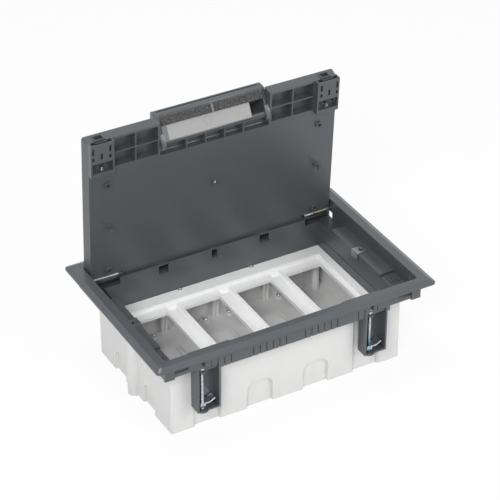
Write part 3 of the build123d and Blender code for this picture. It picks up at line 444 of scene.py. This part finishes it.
# The screw at the front right turns blue towards its foot
blue_tint = (0.02, 0.15, 0.24, 1)
blue_starts = 0.062
blue_full = 0.040
blue_zinc = plated_metal("blue_zinc", zinc_colour, zinc_stain, zinc_roughness)
blue_tree = blue_zinc.node_tree
blue_place = add_node(blue_tree, "ShaderNodeTexCoord")
blue_height = add_node(blue_tree, "ShaderNodeSeparateXYZ")
blue_tree.links.new(blue_place.outputs["Object"], blue_height.inputs[0])
blue_share = map_range(blue_tree, blue_height.outputs["Z"], start=(blue_starts, blue_full))
blue_base = blue_tree.nodes["Principled BSDF"].inputs["Base Color"]
blue_skin = blue_base.links[0].from_socket
blue_tree.links.new(mix_colours(blue_tree, blue_share, blue_skin, blue_tint), blue_base)

for corner in corners:
    low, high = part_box("clamp_screw_" + corner)
    centre = ((low.x + high.x) / 2, (low.y + high.y) / 2)
    seat = high.z - head_height
    shank = threaded_shank(centre, low.z, seat + shank_overlap)
    head = pan_head("head", centre, head_radius, seat)
    screw = join_pieces("clamp_screw_%s_thread" % corner, shank, head)
    screw.data.materials.append(blue_zinc if corner == "front_right" else zinc_steel)
    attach(screw, "screw_" + corner)
    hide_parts("clamp_screw_" + corner)


# Lid.
# Slate grey moulding with the latches and the cable outlet in its free edge, stiffened by a
# galvanised steel plate that lies in the recess of its outer side.

lid_angle = math.radians(86.57)
lid_plastic = moulded_plastic(
    "lid_plastic", (0.066, 0.075, 0.082), 0.33, cloud=0.14, ior=1.62)
dress(lid_plastic, "lid_body", "latch_cover_left", "latch_cover_right")
soften_edges(main_rounding, "lid_body")
soften_edges(fine_rounding, "latch_cover_left", "latch_cover_right")
# The sliders' near-black colour also paints the shade in the latch slots, where the sliders show
# through.
latch_plastic = moulded_plastic("latch_plastic", (0.016, 0.017, 0.018), 0.42, cloud=0.08)
dress(latch_plastic, "latch_slider_left", "latch_slider_right")
soften_edges(fine_rounding, "latch_slider_left", "latch_slider_right")
plate_steel = plated_metal("plate_steel", (0.46, 0.47, 0.48), (0.425, 0.435, 0.45), 0.42)
dress(plate_steel, "cover_plate")
soften_edges(thin_rounding, "cover_plate")

# Screw in the boss at the middle of the inner side
boss_screw_radius = 0.0020
boss_screw_seat = (0, 0.07867, 0.18530)
boss_screw = pan_head("panel_boss_screw", (0, 0), boss_screw_radius, 0)
boss_screw.rotation_euler = (math.pi - lid_angle, 0, 0)
boss_screw.location = boss_screw_seat
select_only(boss_screw)
apply_placing()
boss_screw.data.name = "panel_boss_screw"
bpy.ops.object.shade_smooth_by_angle(angle=smooth_angle)
boss_screw.data.materials.append(screw_steel)
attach(boss_screw, "lid")


# Hinge pins and springs.
# Drawn steel rods that turn in the frame's side walls. The right one is drawn in against a
# small brass spring to lift the lid out, and zinc plated springs push the latches.

pin_steel = plated_metal("pin_steel", (0.23, 0.23, 0.228), (0.16, 0.158, 0.152), 0.34)
dress(pin_steel, "hinge_pin_left", "hinge_pin_right")
soften_edges(main_rounding, "hinge_pin_left", "hinge_pin_right", segments=3)
spring_brass = plated_metal("spring_brass", (0.72, 0.52, 0.20), (0.62, 0.42, 0.16), 0.30)
hinge_wire = 0.0005
hinge_coils = 5
latch_wire = 0.0004
latch_coil_radius = 0.0016
latch_coil_length = 0.0046
latch_coils = 4
latch_coil_back = 0.00014
latch_coil_lift = 0.0003
coil_steps = 32
wire_sides = 10


def coil_spring(name, wire, radius, length, turns, start, lean=0, turn=0):
    """Coil of round wire from its start, its upright axis leant about X, then turned about Y."""
    deselect_all()
    bpy.ops.mesh.primitive_circle_add(
        vertices=wire_sides, radius=wire / 2, location=(radius, 0, 0),
        rotation=(math.radians(90), 0, 0))
    spring = bpy.context.object
    spring.name = name
    spring.data.name = name
    apply_placing()
    coil = spring.modifiers.new("coil", "SCREW")
    coil.screw_offset = length / turns
    coil.iterations = turns
    coil.steps = coil_steps
    coil.render_steps = coil_steps
    bpy.ops.object.modifier_apply(modifier="coil")
    # Closes the two ends of the wire
    bpy.ops.object.mode_set(mode="EDIT")
    bpy.ops.mesh.select_all(action="DESELECT")
    bpy.ops.mesh.select_mode(type="VERT")
    bpy.ops.mesh.select_non_manifold()
    bpy.ops.mesh.fill_holes(sides=0)
    turn_normals_out()
    spring.rotation_euler = (lean, turn, 0)
    spring.location = start
    apply_placing()
    bpy.ops.object.shade_smooth()
    return spring


low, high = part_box("hinge_spring")
hinge_spring = coil_spring(
    "hinge_spring_wire", hinge_wire, (high.z - low.z - hinge_wire) / 2,
    high.x - low.x - hinge_wire, hinge_coils,
    (low.x + hinge_wire / 2, (low.y + high.y) / 2, (low.z + high.z) / 2),
    turn=math.radians(90))
hinge_spring.data.materials.append(spring_brass)
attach(hinge_spring, "lid")
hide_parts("hinge_spring")
for side in ("left", "right"):
    low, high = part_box("latch_spring_" + side)
    latch_spring = coil_spring(
        "latch_spring_wire_" + side, latch_wire, latch_coil_radius, latch_coil_length,
        latch_coils,
        ((low.x + high.x) / 2, (low.y + high.y) / 2 + latch_coil_back, low.z + latch_coil_lift),
        lean=math.pi / 2 - lid_angle)
    latch_spring.data.materials.append(zinc_steel)
    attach(latch_spring, "lid")
    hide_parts("latch_spring_" + side)


# Cable outlet.
# The flap's light plate, its grooved rim and end web, and the two foam strips with their clip.
# The strips are cut from open-cell foam and glued in, so that they close round a cable.

flap_plate_plastic = moulded_plastic(
    "flap_plate_plastic", (0.30, 0.30, 0.298), 0.40, cloud=0.12)
clip_plastic = moulded_plastic("clip_plastic", (0.11, 0.115, 0.12), 0.34)
dress(flap_plate_plastic, "flap_plate")
dress(clip_plastic, "foam_clip")
soften_edges(thin_rounding, "flap_plate", "foam_clip")


def copy_of_node(node, name):
    """Own copy of a CAD node's mesh, its doubles merged, as a start for a finer piece."""
    piece = nodes[node].copy()
    piece.data = piece.data.copy()
    piece.name = name
    piece.data.name = name
    for key in list(piece.keys()):
        del piece[key]
    piece.parent = None
    piece.modifiers.clear()
    bpy.context.collection.objects.link(piece)
    select_only(piece)
    merge = piece.modifiers.new("merge", "WELD")
    merge.merge_threshold = weld_distance
    bpy.ops.object.modifier_apply(modifier="merge")
    return piece


# The flap's free edge has a narrow groove along its outer rim
groove_length = 0.124
groove_width = 0.0022
groove_depth = 0.0014
groove_inset = 0.0054
flap = copy_of_node("cable_flap", "cable_flap_grooved")
low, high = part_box("cable_flap")
deselect_all()
bpy.ops.mesh.primitive_cube_add(size=1, location=(0, 0, 0))
cutter = bpy.context.object
cutter.scale = (groove_length, 2 * groove_depth, groove_width)
apply_placing()
cutter.rotation_euler = (-lid_angle, 0, 0)
cutter.location = (0, high.y - groove_inset, high.z)
apply_placing()
cut_away(flap, cutter)
add_rounding(flap, thin_rounding)
bpy.ops.object.modifier_apply(modifier="rounding")
select_only(flap)
bpy.ops.object.shade_smooth_by_angle(angle=smooth_angle)
cover(flap.data, lid_plastic)
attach(flap, "flap")
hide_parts("cable_flap")

# Web between the light plate and the flap's left end, level with the plate
plate_edge = -0.0565
web_edge = -0.0629
web = copy_of_node("flap_plate", "flap_end_web")
for vertex in web.data.vertices:
    vertex.co.x = web_edge if vertex.co.x < 0 else plate_edge
cover(web.data, lid_plastic)
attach(web, "flap")

# Round gate mark near the middle of the light plate, a low ring that the mould leaves
gate_mark_radius = 0.0042
gate_mark_wire = 0.00030
gate_mark_centre = (-0.0070, 0.07780, 0.26540)
plate_angle = math.radians(64.23)
deselect_all()
bpy.ops.mesh.primitive_torus_add(
    major_radius=gate_mark_radius, minor_radius=gate_mark_wire,
    major_segments=48, minor_segments=8, location=gate_mark_centre,
    rotation=(plate_angle, 0, 0))
gate_mark = bpy.context.object
gate_mark.name = "flap_plate_gate_mark"
gate_mark.data.name = "flap_plate_gate_mark"
apply_placing()
bpy.ops.object.shade_smooth()
gate_mark.data.materials.append(flap_plate_plastic)
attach(gate_mark, "flap")

# Foam strips, dark grey with torn cells
cell_scale = 900.0
speckle_range = (0.40, 0.62)
cell_depth = 0.0006
voxel_size = 0.0005
tear_scale = 0.0008
tear_depth = 0.0007


def open_cell_foam(name, dark, light):
    """Material of a coarse grey foam whose cells are torn open."""
    material = bpy.data.materials.new(name)
    material.use_nodes = True
    tree = material.node_tree
    shader = tree.nodes["Principled BSDF"]
    shader.inputs["Roughness"].default_value = 0.92
    shader.inputs["Sheen Weight"].default_value = 0.25
    place = add_node(tree, "ShaderNodeTexCoord")
    speckle = map_range(
        tree, noise(tree, place, Scale=cell_scale, Detail=3.0), start=speckle_range)
    tree.links.new(
        mix_colours(tree, speckle, (*dark, 1), (*light, 1)), shader.inputs["Base Color"])
    cells = add_node(tree, "ShaderNodeTexVoronoi", Scale=cell_scale)
    tree.links.new(place.outputs["Object"], cells.inputs["Vector"])
    bump = add_node(tree, "ShaderNodeBump", Strength=0.9, Distance=cell_depth)
    tree.links.new(cells.outputs["Distance"], bump.inputs["Height"])
    tree.links.new(bump.outputs["Normal"], shader.inputs["Normal"])
    return material


foam_grey = open_cell_foam("foam_grey", (0.018, 0.018, 0.019), (0.105, 0.105, 0.104))
torn_cells = bpy.data.textures.new("torn_cells", "CLOUDS")
torn_cells.noise_scale = tear_scale
torn_cells.noise_depth = 1
for side in ("left", "right"):
    strip = copy_of_node("foam_strip_" + side, "foam_pad_" + side)
    cells = strip.modifiers.new("cells", "REMESH")
    cells.mode = "VOXEL"
    cells.voxel_size = voxel_size
    bpy.ops.object.modifier_apply(modifier="cells")
    tear = strip.modifiers.new("tear", "DISPLACE")
    tear.texture = torn_cells
    tear.texture_coords = "LOCAL"
    tear.strength = tear_depth
    tear.mid_level = 0.55
    bpy.ops.object.modifier_apply(modifier="tear")
    bpy.ops.object.shade_smooth()
    cover(strip.data, foam_grey)
    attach(strip, "flap")
    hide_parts("foam_strip_" + side)


# Studio.
# A white floor that keeps a soft shadow, three soft lamps and an even white surround.

floor_size = 12
floor_level = -0.0002
floor_colour = (0.92, 0.92, 0.92, 1)
floor_share = 0.9
white = (1, 1, 1, 1)
shade_level = 0.44
lamp_target = (0, 0, 0.10)


def seen_rays(tree):
    """1 for the rays that show the studio: camera, glossy and transmission rays."""
    rays = add_node(tree, "ShaderNodeLightPath").outputs
    mirrored = calculate(tree, "MAXIMUM", rays["Is Camera Ray"], rays["Is Glossy Ray"])
    return calculate(tree, "MAXIMUM", mirrored, rays["Is Transmission Ray"])


def studio_white(material, share):
    """The camera sees this share of plain white, so that the floor ends in a white ground."""
    tree = material.node_tree
    shader = tree.nodes["Principled BSDF"]
    shader.inputs["Base Color"].default_value = floor_colour
    shader.inputs["Roughness"].default_value = 0.9
    glow = add_node(tree, "ShaderNodeEmission", Color=white, Strength=1.0)
    mix = add_node(tree, "ShaderNodeMixShader")
    tree.links.new(calculate(tree, "MULTIPLY", seen_rays(tree), share), mix.inputs[0])
    tree.links.new(shader.outputs[0], mix.inputs[1])
    tree.links.new(glow.outputs[0], mix.inputs[2])
    tree.links.new(mix.outputs[0], tree.nodes["Material Output"].inputs["Surface"])


def aim(place, point):
    """Turn that makes a lamp or camera at this place look at the point."""
    reach = [point[i] - place[i] for i in range(3)]
    pitch = math.atan2(math.hypot(reach[0], reach[1]), -reach[2])
    return (pitch, 0, math.atan2(-reach[0], reach[1]))


def soft_lamp(name, place, size, power):
    """Round area lamp that faces the box."""
    data = bpy.data.lights.new(name, "AREA")
    data.shape = "DISK"
    data.size = size
    data.energy = power
    lamp = bpy.data.objects.new(name, data)
    bpy.context.collection.objects.link(lamp)
    lamp.location = place
    lamp.rotation_euler = aim(place, lamp_target)


deselect_all()
bpy.ops.mesh.primitive_plane_add(size=floor_size, location=(0, 0, floor_level))
studio_floor = bpy.context.object
studio_floor.name = "studio_floor"
floor_white = bpy.data.materials.new("floor_white")
floor_white.use_nodes = True
studio_white(floor_white, floor_share)
studio_floor.data.materials.append(floor_white)

soft_lamp("key_lamp", (-1.35, -1.4, 1.6), size=0.9, power=28)
soft_lamp("side_lamp", (1.2, -1.6, 1.0), size=1.0, power=13)
soft_lamp("top_lamp", (-0.3, 0.3, 2.2), size=0.8, power=12)
surround = bpy.data.worlds.new("surround")
surround.use_nodes = True
sky = surround.node_tree
ground = sky.nodes["Background"]
ground.inputs["Color"].default_value = white
sky.links.new(
    map_range(sky, seen_rays(sky), end=(shade_level, 1)), ground.inputs["Strength"])
bpy.context.scene.world = surround

# Camera at the photograph's angle
camera_place = (-0.9168, -1.6335, 1.3937)
camera_target = (0.0259, 0.0445, 0.1052)
optics = bpy.data.cameras.new("camera")
optics.sensor_width = 36
optics.lens = 149.29
optics.clip_end = 50
camera = bpy.data.objects.new("camera", optics)
bpy.context.collection.objects.link(camera)
camera.location = camera_place
camera.rotation_euler = aim(camera_place, camera_target)
bpy.context.scene.camera = camera
bpy.context.scene.view_settings.view_transform = "Standard"
